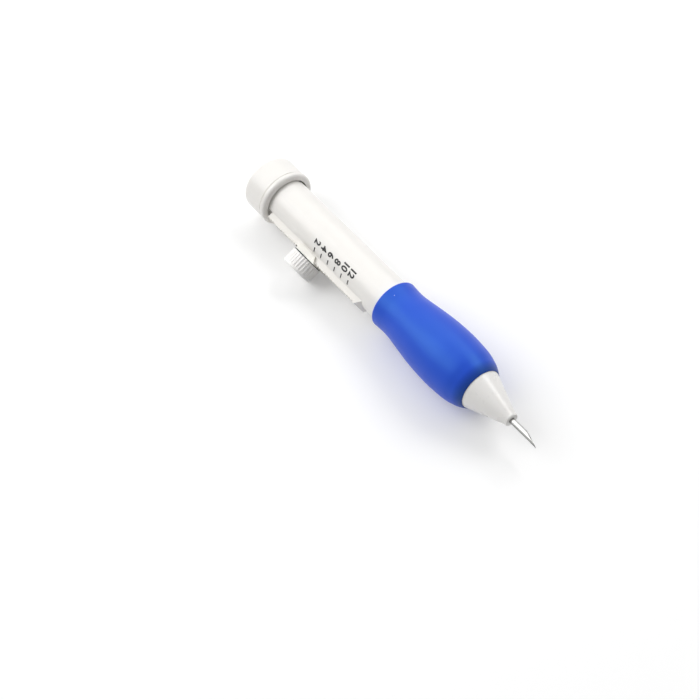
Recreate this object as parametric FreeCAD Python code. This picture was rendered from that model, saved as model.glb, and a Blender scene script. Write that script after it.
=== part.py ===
import FreeCAD, Part
import math
import os

# Adjustable punch-needle pen, lying on its side. Millimetres.
#
# Row frame: +X runs along the pen's axis towards the needle, +Z is up, and the origin is the centre of the thread
# hole's mouth, in the flat rear face of the end cap.
# Every piece is modelled in the pen's own frame, in which the depth knob points along -Y. The whole pen is then
# rolled about X by KNOB_DROOP, so that the knob's rim comes down to the surface that the pen lies on.

# ---- barrel ----
CAP_LENGTH = 10.2             # rear face to open rim
SHOWN_BARREL = 51.1           # cap rim to grip
BARREL_RADIUS = 6.7
BARREL_WALL = 1.8
FRONT_SOCKET_STEP = 0.8       # bore to the counterbore that takes the nose cone's spigot
FRONT_SOCKET_DEPTH = 6.6
BARREL_EDGE = 0.3             # rounding of the barrel's rear edge

# ---- end cap ----
CAP_WALL = 1.65
CAP_BEAD_HEIGHT = 0.15
CAP_BEAD_LENGTH = 1.75
CAP_GROOVE_WIDTH = 0.35
CAP_GROOVE_DEPTH = 0.2
CAP_REAR_ROUNDING = 1.3
CAP_RIM_ROUNDING = 1.0        # front edge of the bead
CAP_REAR_WALL = 2.2
CAP_PLUG_LENGTH = 6.4
CAP_PLUG_WALL = 1.2
THREAD_HOLE_RADIUS = 1.5

# ---- toothed rail and its slot ----
RAIL_REAR_GAP = 1.6           # cap rim to rail
RAIL_FRONT_LAND = 9.25        # rail beyond the slot's front end
WINDOW_UNDER_CAP = 0.6        # how far the barrel's window for the rail runs in under the cap's rim
RAIL_HALF_WIDTH = 3.6
RAIL_PROUD = 1.05             # barrel's skin to the tops of the teeth
RAIL_FRONT_RAKE = 1.5         # how far the top of the front end leans back
TOOTH_DEPTH = 0.55
TOOTH_STRIP_WIDTH = 1.15
TEETH_PER_MARK = 3

# ---- depth scale ----
MARK_PITCH = 3.2              # two units of the scale
MARK_VALUES = (2, 4, 6, 8, 10, 12)
MARK_WIDTH = 0.38
MARK_THICKNESS = 0.04
MARK_FROM_ANGLE = 38.5        # degrees round from the knob towards the top
MARK_TO_ANGLE = 51.5
REST_VALUE = 3                # the setting that the pen is modelled at
LOWEST_VALUE = 0
HIGHEST_VALUE = 12

# ---- depth stop: saddle, washer, knob, screw, nut ----
KNOB_FROM_RAIL = 18.1         # rail's rear end to the knob's axis, at REST_VALUE
SADDLE_BACK = 2.7             # knob axis to the saddle's rear end
SADDLE_FRONT = 4.1            # knob axis to the index, the front corner beside the scale
SADDLE_RAKE = 1.5             # how far the front end leans forward from the index
SADDLE_PLATE = 0.25
SADDLE_SKIRT = 0.6
SADDLE_SKIRT_DEPTH = 1.95
WASHER_RADIUS = 4.9
WASHER_THICKNESS = 0.25
KNOB_RADIUS = 5.1
KNOB_HEIGHT = 4.75
KNOB_LIP = 1.0                # plain rim at the knob's outer end
KNOB_LIP_ROUNDING = 0.35
FLUTE_COUNT = 32
FLUTE_RADIUS = 0.36
FLUTE_DEPTH = 0.3
KNOB_DISH_RADIUS = 3.6
KNOB_DISH_DEPTH = 0.3
SCREW_RADIUS = 1.25
SCREW_TIP_SHORT = 0.25        # screw's tip stops this far inside the nut
SCREW_HEAD_FLATS = 4.5
SCREW_HEAD_THICKNESS = 1.7
SCREW_HEAD_COVER = 1.5        # knob material between the head and the outer face
NUT_FLATS = 5.0
NUT_THICKNESS = 1.9
NUT_SINK = 0.8                # nut's outer face below the carrier's skin

# ---- carrier ----
CARRIER_TAIL = 7.3            # carrier behind the knob's axis
CARRIER_PAST_BARREL = 0.3     # how far the carrier comes out of the barrel at HIGHEST_VALUE
CARRIER_REAR_GUIDE = 15.0
CARRIER_FRONT_GUIDE = 12.0
CARRIER_WAIST_RADIUS = 4.0
CARRIER_BORE_RADIUS = 1.3
SOCKET_DEPTH = 7.0

# ---- needle ----
NEEDLE_RADIUS = 0.82
NEEDLE_BORE_RADIUS = 0.56
NEEDLE_REACH = 10.9           # cone mouth to needle point, at REST_VALUE
NEEDLE_TAIL = 8.0             # tube standing out behind the hub
BEVEL_LENGTH = 5.6            # its face looks straight away from the knob
EYE_RADIUS = 0.32
EYE_FROM_POINT = 2.7
HUB_RADIUS = 3.0
HUB_SEATED_LENGTH = 6.5       # length of hub inside the carrier's socket
HUB_COLLAR_RADIUS = 3.6
HUB_COLLAR_LENGTH = 1.4
HUB_BODY_LENGTH = 3.0
HUB_NOSE_RADIUS = 2.2
HUB_NOSE_LENGTH = 3.6
HUB_KEY_SIZE = 0.9

# ---- grip sleeve ----
GRIP_LENGTH = 39.1
GRIP_REAR_WALL = 1.07         # thickness over the barrel, from the rear end to the shoulder
GRIP_WAIST_WALL = 0.87
GRIP_RISE_WALL = 1.47
GRIP_WIDEST_WALL = 2.7
GRIP_FALL_WALL = 2.2
GRIP_SHOULDER_WALL = 1.0
GRIP_WAIST_AT = 4.5           # from the sleeve's rear end
GRIP_RISE_AT = 10.6
GRIP_WIDEST_BACK = 13.7       # from the sleeve's front end
GRIP_FALL_BACK = 6.3
GRIP_SHOULDER_BACK = 2.6
GRIP_EDGE = 0.5
GRIP_LIP_GAP = 0.08           # cone's base to the lip that covers the barrel's front end
GRIP_LIP_EDGE = 0.12

# ---- nose cone ----
CONE_INSET = 0.6              # the cone's base sits this far inside the grip's mouth
CONE_LENGTH = 13.9
CONE_BASE_STEP = 0.26         # barrel's skin to the cone's base
CONE_BASE_BAND = 0.7
CONE_TIP_RADIUS = 1.86
CONE_TIP_BEAD = 0.12
CONE_TIP_BEAD_LENGTH = 0.5
CONE_WALL = 1.3
CONE_GUIDE_LENGTH = 3.6
CONE_SPIGOT_WALL = 0.6

# ---- fits ----
SLIDING_FIT = 0.10            # radial, between pieces that slide in each other
SCREW_FIT = 0.06
PUSH_FIT = 0.05
CAP_SIDE_GAP = 0.45           # cap cavity round the barrel
CAP_END_GAP = 0.6             # barrel's rear end to the cap's inner wall
SADDLE_FIT = 0.05             # saddle over the tooth tops
SADDLE_SIDE_FIT = 0.12        # saddle skirts beside the rail
SADDLE_BARREL_GAP = 0.2
SLOT_SIDE_CLEARANCE = 0.4
SLOT_END_CLEARANCE = 0.3

KNOB_DROOP = 19.5             # degrees that the knob hangs below the level

# ---- worked out ----
GRIP_START = CAP_LENGTH + SHOWN_BARREL
GRIP_END = GRIP_START + GRIP_LENGTH
CONE_BASE = GRIP_END - CONE_INSET
CONE_TIP = CONE_BASE + CONE_LENGTH
NEEDLE_POINT = CONE_TIP + NEEDLE_REACH
BARREL_REAR = CAP_REAR_WALL + CAP_END_GAP
BORE_RADIUS = BARREL_RADIUS - BARREL_WALL
FRONT_SOCKET_RADIUS = BORE_RADIUS + FRONT_SOCKET_STEP
CAP_CAVITY_RADIUS = BARREL_RADIUS + CAP_SIDE_GAP
CAP_RADIUS = CAP_CAVITY_RADIUS + CAP_WALL
CAP_BEAD_RADIUS = CAP_RADIUS + CAP_BEAD_HEIGHT
CONE_BASE_RADIUS = BARREL_RADIUS - CONE_BASE_STEP
CAP_PLUG_RADIUS = BORE_RADIUS - SLIDING_FIT
GRIP_LIP_RADIUS = CONE_BASE_RADIUS + GRIP_LIP_GAP
GRIP_MOUTH_WALL = GRIP_LIP_RADIUS + GRIP_LIP_EDGE - BARREL_RADIUS
RAIL_START = CAP_LENGTH + RAIL_REAR_GAP
RAIL_HEIGHT = BARREL_RADIUS + RAIL_PROUD
KNOB_PLACE = RAIL_START + KNOB_FROM_RAIL
TOOTH_PITCH = MARK_PITCH / TEETH_PER_MARK
UNIT_TRAVEL = MARK_PITCH / (MARK_VALUES[1] - MARK_VALUES[0])
TRAVEL_BACK = (REST_VALUE - LOWEST_VALUE) * UNIT_TRAVEL
TRAVEL_FORWARD = (HIGHEST_VALUE - REST_VALUE) * UNIT_TRAVEL
INDEX_PLACE = KNOB_PLACE + SADDLE_FRONT
SLOT_HALF_WIDTH = SCREW_RADIUS + SLOT_SIDE_CLEARANCE
SLOT_START = KNOB_PLACE - TRAVEL_BACK - SLOT_HALF_WIDTH - SLOT_END_CLEARANCE
SLOT_END = KNOB_PLACE + TRAVEL_FORWARD + SLOT_HALF_WIDTH + SLOT_END_CLEARANCE
RAIL_END = SLOT_END + RAIL_FRONT_LAND
SADDLE_UNDER = RAIL_HEIGHT + SADDLE_FIT
SADDLE_TOP = SADDLE_UNDER + SADDLE_PLATE
KNOB_FOOT = SADDLE_TOP + WASHER_THICKNESS
KNOB_TOP = KNOB_FOOT + KNOB_HEIGHT
CARRIER_RADIUS = BORE_RADIUS - SLIDING_FIT
SCREW_HEAD_TOP = KNOB_TOP - SCREW_HEAD_COVER
SCREW_HEAD_FOOT = SCREW_HEAD_TOP - SCREW_HEAD_THICKNESS
NUT_OUTER_HEIGHT = CARRIER_RADIUS - NUT_SINK
NUT_INNER_HEIGHT = NUT_OUTER_HEIGHT - NUT_THICKNESS
SCREW_TIP_HEIGHT = NUT_INNER_HEIGHT + SCREW_TIP_SHORT
CARRIER_REAR = KNOB_PLACE - CARRIER_TAIL
CARRIER_FRONT = CONE_BASE + CARRIER_PAST_BARREL - TRAVEL_FORWARD
CARRIER_SEAT = CARRIER_FRONT - SOCKET_DEPTH
HUB_REAR = CARRIER_FRONT - HUB_SEATED_LENGTH
CONE_GUIDE_RADIUS = NEEDLE_RADIUS + SLIDING_FIT
SPIGOT_RADIUS = FRONT_SOCKET_RADIUS - PUSH_FIT
SPIGOT_BORE_RADIUS = SPIGOT_RADIUS - CONE_SPIGOT_WALL

ALONG = FreeCAD.Vector(1, 0, 0)
TOWARDS_KNOB = FreeCAD.Vector(0, -1, 0)
CENTRE = FreeCAD.Vector(0, 0, 0)


def rod(start, end, radius):
    """Cylinder on the pen's axis between two places along it."""
    return Part.makeCylinder(radius, end - start, FreeCAD.Vector(start, 0, 0), ALONG)


def tube(start, end, outer, inner):
    """Hollow cylinder on the pen's axis."""
    return rod(start, end, outer).cut(rod(start, end, inner))


def turned(outline):
    """Solid turned about the pen's axis from (place, radius) corners."""
    corners = [FreeCAD.Vector(place, radius, 0) for place, radius in outline]
    face = Part.Face(Part.makePolygon(corners + corners[:1]))
    return face.revolve(CENTRE, ALONG, 360)


def knob_rod(height_from, height_to, radius):
    """Cylinder on the knob's axis between two heights above the pen's axis."""
    foot = FreeCAD.Vector(KNOB_PLACE, -height_from, 0)
    return Part.makeCylinder(radius, height_to - height_from, foot, TOWARDS_KNOB)


def knob_hexagon(height_from, height_to, flats):
    """Hexagonal prism on the knob's axis, with two corners in line with the pen."""
    corner_radius = flats / math.sqrt(3)
    corners = []
    for step in range(7):
        angle = math.radians(60 * step)
        corners.append(FreeCAD.Vector(KNOB_PLACE + corner_radius * math.cos(angle), -height_from,
                                      corner_radius * math.sin(angle)))
    face = Part.Face(Part.makePolygon(corners))
    return face.extrude(TOWARDS_KNOB * (height_to - height_from))


def side_block(outline, half_width):
    """Block of a (place, height) side view, spread to both sides of the knob's plane."""
    corners = [FreeCAD.Vector(place, -height, -half_width) for place, height in outline]
    face = Part.Face(Part.makePolygon(corners + corners[:1]))
    return face.extrude(FreeCAD.Vector(0, 0, 2 * half_width))


def slot_block(start, end, half_width, height_from, height_to):
    """Round-ended slot cutter through the rail, along the pen."""
    first = start + half_width
    last = end - half_width
    depth = height_to - height_from
    shape = side_block([(first, height_from), (last, height_from), (last, height_to), (first, height_to)],
                       half_width)
    for place in (first, last):
        foot = FreeCAD.Vector(place, -height_from, 0)
        shape = shape.fuse(Part.makeCylinder(half_width, depth, foot, TOWARDS_KNOB))
    return shape.removeSplitter()


def circle_edges(shape, place, radius):
    """Circular edges of a turned shape at one place along the pen."""
    found = []
    for edge in shape.Edges:
        if isinstance(edge.Curve, Part.Circle) and abs(edge.Curve.Radius - radius) < 1e-4:
            if abs(edge.Curve.Center.x - place) < 1e-4:
                found.append(edge)
    return found


def rail_outline():
    """Side view of the rail, as (place, height) corners."""
    skin_height = math.sqrt(BARREL_RADIUS ** 2 - RAIL_HALF_WIDTH ** 2)
    return [(RAIL_START, 0), (RAIL_END, 0), (RAIL_END, skin_height), (RAIL_END - RAIL_FRONT_RAKE, RAIL_HEIGHT),
            (RAIL_START, RAIL_HEIGHT)]


def barrel():
    """Straight tube with the rail's window in its side and a socket for the nose cone."""
    shape = tube(BARREL_REAR, CONE_BASE, BARREL_RADIUS, BORE_RADIUS)
    shape = shape.cut(rod(CONE_BASE - FRONT_SOCKET_DEPTH, CONE_BASE, FRONT_SOCKET_RADIUS))
    window_start = CAP_LENGTH - WINDOW_UNDER_CAP
    window = [(window_start, 0), (RAIL_END, 0), (RAIL_END, KNOB_TOP), (window_start, KNOB_TOP)]
    shape = shape.cut(side_block(window, RAIL_HALF_WIDTH))
    return shape.makeFillet(BARREL_EDGE, circle_edges(shape, BARREL_REAR, BARREL_RADIUS))


def toothed_rail():
    """Slotted insert that fills the barrel's window, with fine teeth along both top edges."""
    shape = side_block(rail_outline(), RAIL_HALF_WIDTH)
    shape = shape.cut(rod(RAIL_START, RAIL_END, BORE_RADIUS))
    shape = shape.cut(slot_block(SLOT_START, SLOT_END, SLOT_HALF_WIDTH, 0, RAIL_HEIGHT))
    notches = []
    count = int((RAIL_END - RAIL_FRONT_RAKE - RAIL_START) / TOOTH_PITCH)
    for index in range(count):
        place = RAIL_START + (index + 0.5) * TOOTH_PITCH
        notch = [(place - TOOTH_PITCH / 2, RAIL_HEIGHT), (place, RAIL_HEIGHT - TOOTH_DEPTH),
                 (place + TOOTH_PITCH / 2, RAIL_HEIGHT)]
        block = side_block(notch, RAIL_HALF_WIDTH)
        middle = side_block(notch, RAIL_HALF_WIDTH - TOOTH_STRIP_WIDTH)
        notches.append(block.cut(middle))
    return shape.cut(Part.makeCompound(notches))


def grip_point(place, wall):
    """Point of the grip's outline, from the sleeve's rear end and the barrel's skin."""
    return FreeCAD.Vector(GRIP_START + place, BARREL_RADIUS + wall, 0)


def grip_sleeve():
    """Soft sleeve, waisted behind and swelling towards the front, with a lip over the barrel's front end."""
    corner_share = 1 - math.sqrt(0.5)
    start = grip_point(0, 0)
    rear_foot = grip_point(0, GRIP_REAR_WALL - GRIP_EDGE)
    rear_arc = grip_point(GRIP_EDGE * corner_share, GRIP_REAR_WALL - GRIP_EDGE * corner_share)
    points = [grip_point(GRIP_EDGE, GRIP_REAR_WALL), grip_point(GRIP_WAIST_AT, GRIP_WAIST_WALL),
              grip_point(GRIP_RISE_AT, GRIP_RISE_WALL),
              grip_point(GRIP_LENGTH - GRIP_WIDEST_BACK, GRIP_WIDEST_WALL),
              grip_point(GRIP_LENGTH - GRIP_FALL_BACK, GRIP_FALL_WALL),
              grip_point(GRIP_LENGTH - GRIP_SHOULDER_BACK, GRIP_SHOULDER_WALL)]
    flank = Part.BSplineCurve()
    flank.interpolate(points)
    mouth = grip_point(GRIP_LENGTH, GRIP_MOUTH_WALL)
    nose_rise = GRIP_SHOULDER_WALL - GRIP_MOUTH_WALL
    nose_middle = grip_point(GRIP_LENGTH - corner_share * GRIP_SHOULDER_BACK,
                             GRIP_MOUTH_WALL + (1 - corner_share) * nose_rise)
    lip_front = FreeCAD.Vector(GRIP_END, GRIP_LIP_RADIUS, 0)
    lip_back = FreeCAD.Vector(CONE_BASE, GRIP_LIP_RADIUS, 0)
    barrel_end = FreeCAD.Vector(CONE_BASE, BARREL_RADIUS, 0)
    runs = [Part.LineSegment(start, rear_foot).toShape(), Part.Arc(rear_foot, rear_arc, points[0]).toShape(),
            flank.toShape(), Part.Arc(points[-1], nose_middle, mouth).toShape(),
            Part.makePolygon([mouth, lip_front, lip_back, barrel_end, start])]
    face = Part.Face(Part.Wire(runs))
    return face.revolve(CENTRE, ALONG, 360)


def scale_mark(value):
    """One printed line of the depth scale, wrapped on the barrel beside the rail."""
    place = INDEX_PLACE + (value - REST_VALUE) * UNIT_TRAVEL
    outer = BARREL_RADIUS + MARK_THICKNESS
    corners = [FreeCAD.Vector(place - MARK_WIDTH / 2, -BARREL_RADIUS, 0),
               FreeCAD.Vector(place + MARK_WIDTH / 2, -BARREL_RADIUS, 0),
               FreeCAD.Vector(place + MARK_WIDTH / 2, -outer, 0),
               FreeCAD.Vector(place - MARK_WIDTH / 2, -outer, 0)]
    face = Part.Face(Part.makePolygon(corners + corners[:1]))
    face.rotate(CENTRE, ALONG, -MARK_FROM_ANGLE)
    return face.revolve(CENTRE, ALONG, MARK_FROM_ANGLE - MARK_TO_ANGLE)


def end_cap():
    """Rear cap with a beaded rim, a thread hole, and a hollow plug that pushes into the barrel's bore."""
    bead_start = CAP_LENGTH - CAP_BEAD_LENGTH
    groove_start = bead_start - CAP_GROOVE_WIDTH
    shape = rod(0, CAP_LENGTH, CAP_RADIUS).fuse(rod(bead_start, CAP_LENGTH, CAP_BEAD_RADIUS)).removeSplitter()
    shape = shape.makeFillet(CAP_REAR_ROUNDING, circle_edges(shape, 0, CAP_RADIUS))
    bead_edges = circle_edges(shape, CAP_LENGTH, CAP_BEAD_RADIUS)
    shape = shape.makeFillet(CAP_RIM_ROUNDING, bead_edges)
    shape = shape.cut(tube(groove_start, bead_start, CAP_BEAD_RADIUS, CAP_RADIUS - CAP_GROOVE_DEPTH))
    cavity = tube(CAP_REAR_WALL, CAP_LENGTH, CAP_CAVITY_RADIUS, CAP_PLUG_RADIUS)
    beyond_plug = rod(CAP_REAR_WALL + CAP_PLUG_LENGTH, CAP_LENGTH, CAP_CAVITY_RADIUS)
    plug_bore = rod(CAP_REAR_WALL, CAP_LENGTH, CAP_PLUG_RADIUS - CAP_PLUG_WALL)
    hole = rod(0, CAP_REAR_WALL, THREAD_HOLE_RADIUS)
    for cutter in (cavity, beyond_plug, plug_bore, hole):
        shape = shape.cut(cutter)
    return shape


def cone_outer(place):
    """Outer radius of the nose cone's tapered part."""
    taper_start = CONE_BASE + CONE_BASE_BAND
    share = (place - taper_start) / (CONE_TIP - taper_start)
    return CONE_BASE_RADIUS + share * (CONE_TIP_RADIUS - CONE_BASE_RADIUS)


def nose_cone():
    """Hollow cone that guides the needle, with a spigot that pushes into the barrel's front."""
    spigot_rear = CONE_BASE - FRONT_SOCKET_DEPTH + SLIDING_FIT
    taper_start = CONE_BASE + CONE_BASE_BAND
    guide_rear = CONE_TIP - CONE_GUIDE_LENGTH
    bead_rear = CONE_TIP - CONE_TIP_BEAD_LENGTH
    outside = [(spigot_rear, 0), (spigot_rear, SPIGOT_RADIUS), (CONE_BASE, SPIGOT_RADIUS),
               (CONE_BASE, CONE_BASE_RADIUS), (taper_start, CONE_BASE_RADIUS),
               (bead_rear, cone_outer(bead_rear)), (bead_rear + CONE_TIP_BEAD, cone_outer(bead_rear) + CONE_TIP_BEAD),
               (CONE_TIP, CONE_TIP_RADIUS + CONE_TIP_BEAD), (CONE_TIP, 0)]
    cavity_front = taper_start + CONE_BASE_BAND
    inside = [(spigot_rear, 0), (spigot_rear, SPIGOT_BORE_RADIUS),
              (cavity_front, min(SPIGOT_BORE_RADIUS, cone_outer(cavity_front) - CONE_WALL)),
              (guide_rear, cone_outer(guide_rear) - CONE_WALL), (guide_rear, CONE_GUIDE_RADIUS),
              (CONE_TIP, CONE_GUIDE_RADIUS), (CONE_TIP, 0)]
    return turned(outside).cut(turned(inside))


def needle_carrier():
    """Sliding carrier with guides at both ends, a thread passage, a nut pocket and the needle's socket."""
    waist_from = CARRIER_REAR + CARRIER_REAR_GUIDE
    waist_to = CARRIER_FRONT - CARRIER_FRONT_GUIDE
    shape = rod(CARRIER_REAR, CARRIER_FRONT, CARRIER_RADIUS)
    shape = shape.cut(tube(waist_from, waist_to, CARRIER_RADIUS, CARRIER_WAIST_RADIUS))
    shape = shape.cut(rod(CARRIER_REAR, CARRIER_FRONT, CARRIER_BORE_RADIUS))
    shape = shape.cut(rod(CARRIER_SEAT, CARRIER_FRONT, HUB_RADIUS + PUSH_FIT))
    shape = shape.cut(hub_key(PUSH_FIT))
    return shape.cut(knob_hexagon(NUT_INNER_HEIGHT, CARRIER_RADIUS, NUT_FLATS))


def carrier_nut():
    """Hexagonal nut let into the carrier for the knob's screw."""
    shape = knob_hexagon(NUT_INNER_HEIGHT, NUT_OUTER_HEIGHT, NUT_FLATS)
    return shape.cut(knob_rod(NUT_INNER_HEIGHT, NUT_OUTER_HEIGHT, SCREW_RADIUS + SCREW_FIT))


def hub_key(allowance):
    """Small key on the hub's seated part, or its keyway when an allowance is given."""
    low = HUB_RADIUS - HUB_KEY_SIZE / 2
    high = HUB_RADIUS + HUB_KEY_SIZE / 2 + allowance
    half_width = HUB_KEY_SIZE / 2 + allowance
    outline = [(CARRIER_SEAT + HUB_KEY_SIZE, low), (CARRIER_FRONT, low), (CARRIER_FRONT, high),
               (CARRIER_SEAT + HUB_KEY_SIZE, high)]
    return side_block(outline, half_width)


def needle_hub():
    """Moulded hub of the needle: keyed seat, stop collar, body and nose."""
    collar_end = CARRIER_FRONT + HUB_COLLAR_LENGTH
    body_end = collar_end + HUB_BODY_LENGTH
    shape = rod(HUB_REAR, body_end, HUB_RADIUS).fuse(rod(CARRIER_FRONT, collar_end, HUB_COLLAR_RADIUS))
    shape = shape.fuse(rod(body_end, body_end + HUB_NOSE_LENGTH, HUB_NOSE_RADIUS))
    shape = shape.fuse(hub_key(0)).removeSplitter()
    return shape.cut(rod(HUB_REAR, body_end + HUB_NOSE_LENGTH, NEEDLE_RADIUS))


def needle_tube():
    """Hollow steel needle: open tail, bevelled point and an eye through the wall behind the point."""
    tail = HUB_REAR - NEEDLE_TAIL
    shape = tube(tail, NEEDLE_POINT, NEEDLE_RADIUS, NEEDLE_BORE_RADIUS)
    beyond = NEEDLE_POINT + NEEDLE_RADIUS
    reach = 2 * NEEDLE_RADIUS
    bevel_start = NEEDLE_POINT - BEVEL_LENGTH
    wedge = side_block([(bevel_start, -NEEDLE_RADIUS), (NEEDLE_POINT, NEEDLE_RADIUS), (beyond, NEEDLE_RADIUS),
                        (beyond, -reach), (bevel_start, -reach)], reach)
    eye_foot = FreeCAD.Vector(NEEDLE_POINT - EYE_FROM_POINT, 0, 0)
    eye = Part.makeCylinder(EYE_RADIUS, reach, eye_foot, TOWARDS_KNOB)
    return shape.cut(wedge).cut(eye)


def depth_saddle():
    """Shoe that straddles the rail under the knob; its front corner beside the scale is the index."""
    skirt_foot = SADDLE_TOP - SADDLE_SKIRT_DEPTH
    outline = [(KNOB_PLACE - SADDLE_BACK, SADDLE_TOP), (INDEX_PLACE + SADDLE_RAKE, SADDLE_TOP),
               (INDEX_PLACE, skirt_foot), (KNOB_PLACE - SADDLE_BACK, skirt_foot)]
    inner_half_width = RAIL_HALF_WIDTH + SADDLE_SIDE_FIT
    shape = side_block(outline, inner_half_width + SADDLE_SKIRT)
    channel = [(0, 0), (RAIL_END, 0), (RAIL_END, SADDLE_UNDER), (0, SADDLE_UNDER)]
    shape = shape.cut(side_block(channel, inner_half_width))
    shape = shape.cut(rod(0, RAIL_END, BARREL_RADIUS + SADDLE_BARREL_GAP))
    return shape.cut(knob_rod(SADDLE_UNDER, SADDLE_TOP, SCREW_RADIUS + SLIDING_FIT))


def saddle_washer():
    """Dark washer between the saddle and the knob."""
    ring = knob_rod(SADDLE_TOP, KNOB_FOOT, WASHER_RADIUS)
    return ring.cut(knob_rod(SADDLE_TOP, KNOB_FOOT, SCREW_RADIUS + SLIDING_FIT))


def thumb_knob():
    """Fluted knob with a plain outer lip and a shallow dish, moulded on to the screw's head."""
    shape = knob_rod(KNOB_FOOT, KNOB_TOP, KNOB_RADIUS)
    rims = [edge for edge in shape.Edges if isinstance(edge.Curve, Part.Circle)]
    outer_rim = [edge for edge in rims if abs(edge.Curve.Center.y + KNOB_TOP) < 1e-4]
    shape = shape.makeFillet(KNOB_LIP_ROUNDING, outer_rim)
    flutes = []
    for index in range(FLUTE_COUNT):
        angle = 2 * math.pi * index / FLUTE_COUNT
        offset = KNOB_RADIUS + FLUTE_RADIUS - FLUTE_DEPTH
        foot = FreeCAD.Vector(KNOB_PLACE + offset * math.cos(angle), -KNOB_FOOT, offset * math.sin(angle))
        flutes.append(Part.makeCylinder(FLUTE_RADIUS, KNOB_HEIGHT - KNOB_LIP, foot, TOWARDS_KNOB))
    shape = shape.cut(Part.makeCompound(flutes))
    shape = shape.cut(knob_rod(KNOB_TOP - KNOB_DISH_DEPTH, KNOB_TOP, KNOB_DISH_RADIUS))
    shape = shape.cut(knob_rod(KNOB_FOOT, SCREW_HEAD_FOOT, SCREW_RADIUS))
    return shape.cut(knob_hexagon(SCREW_HEAD_FOOT, SCREW_HEAD_TOP, SCREW_HEAD_FLATS))


def thumb_screw():
    """Screw that runs from the knob through the slot into the carrier's nut."""
    shank = knob_rod(SCREW_TIP_HEIGHT, SCREW_HEAD_FOOT, SCREW_RADIUS)
    head = knob_hexagon(SCREW_HEAD_FOOT, SCREW_HEAD_TOP, SCREW_HEAD_FLATS)
    return shank.fuse(head).removeSplitter()


def pieces():
    """Every sub-part by node name, in the pen's own frame."""
    made = {
        "barrel": barrel(),
        "toothed_rail": toothed_rail(),
        "grip_sleeve": grip_sleeve(),
        "end_cap": end_cap(),
        "nose_cone": nose_cone(),
        "needle_carrier": needle_carrier(),
        "carrier_nut": carrier_nut(),
        "needle_hub": needle_hub(),
        "needle_tube": needle_tube(),
        "depth_saddle": depth_saddle(),
        "saddle_washer": saddle_washer(),
        "thumb_knob": thumb_knob(),
        "thumb_screw": thumb_screw(),
    }
    for value in MARK_VALUES:
        made[f"scale_mark_{value:02d}"] = scale_mark(value)
    return made


os.makedirs("parts", exist_ok=True)
for node, shape in pieces().items():
    shape.rotate(CENTRE, ALONG, KNOB_DROOP)
    shape.exportStep(f"parts/{node}.step")
    box = shape.BoundBox
    print(f"{node:16s} solids {len(shape.Solids)} valid {shape.isValid()} volume {shape.Volume:9.3f} "
          f"x {box.XMin:7.2f} {box.XMax:7.2f}  y {box.YMin:7.2f} {box.YMax:7.2f}  z {box.ZMin:7.2f} {box.ZMax:7.2f}")
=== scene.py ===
"""Adjustable punch-needle pen: finishes, moulded detail, printed figures, light and camera.

The pen lies on its side along +X with its needle to the front. Its depth knob points along -Y and
hangs a little below the level. Lengths are in metres, and each class holds one sub-assembly or one
finish.
"""

import logging
import math
from dataclasses import dataclass
from enum import Enum
from typing import Callable, Sequence

import bmesh
import bpy
from mathutils import Matrix, Vector

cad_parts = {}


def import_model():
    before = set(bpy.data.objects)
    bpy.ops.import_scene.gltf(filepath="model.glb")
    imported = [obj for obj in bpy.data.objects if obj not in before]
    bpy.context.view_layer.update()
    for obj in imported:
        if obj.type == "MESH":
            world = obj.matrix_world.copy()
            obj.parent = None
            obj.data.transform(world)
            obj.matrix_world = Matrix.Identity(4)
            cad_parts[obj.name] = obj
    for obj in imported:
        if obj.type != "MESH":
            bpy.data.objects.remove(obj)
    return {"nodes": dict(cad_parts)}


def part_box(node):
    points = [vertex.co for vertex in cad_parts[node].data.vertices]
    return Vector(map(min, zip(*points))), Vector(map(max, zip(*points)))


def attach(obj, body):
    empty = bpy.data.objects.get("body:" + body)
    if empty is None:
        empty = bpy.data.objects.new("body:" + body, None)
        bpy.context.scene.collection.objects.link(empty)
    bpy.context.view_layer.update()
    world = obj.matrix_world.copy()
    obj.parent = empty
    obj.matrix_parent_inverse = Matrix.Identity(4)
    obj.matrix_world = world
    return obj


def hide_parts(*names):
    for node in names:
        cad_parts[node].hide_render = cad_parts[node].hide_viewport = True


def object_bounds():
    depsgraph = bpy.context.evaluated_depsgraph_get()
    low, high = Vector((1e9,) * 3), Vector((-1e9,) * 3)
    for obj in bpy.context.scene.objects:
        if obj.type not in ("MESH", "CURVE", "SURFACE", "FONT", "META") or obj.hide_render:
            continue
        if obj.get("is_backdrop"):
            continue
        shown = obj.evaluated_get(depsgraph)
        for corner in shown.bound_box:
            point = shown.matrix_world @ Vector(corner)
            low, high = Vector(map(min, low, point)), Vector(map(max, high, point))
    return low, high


LOG = logging.getLogger("punch_needle_pen")
MM = 0.001

Colour = tuple[float, float, float]
Point = tuple[float, float, float]
Place = tuple[float, float]
Outline = Sequence[Place]

WHITE: Colour = (1.0, 1.0, 1.0)
PEN_MIDDLE: Point = (62 * MM, 0.0, 0.0)


class Body(Enum):
    """Rigid bodies that new pieces ride on, by their names in the frame."""

    BARREL = "barrel"
    KNOB = "knob"


# ---------------------------------------------------------------------------
# Node helpers
# ---------------------------------------------------------------------------


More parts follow.
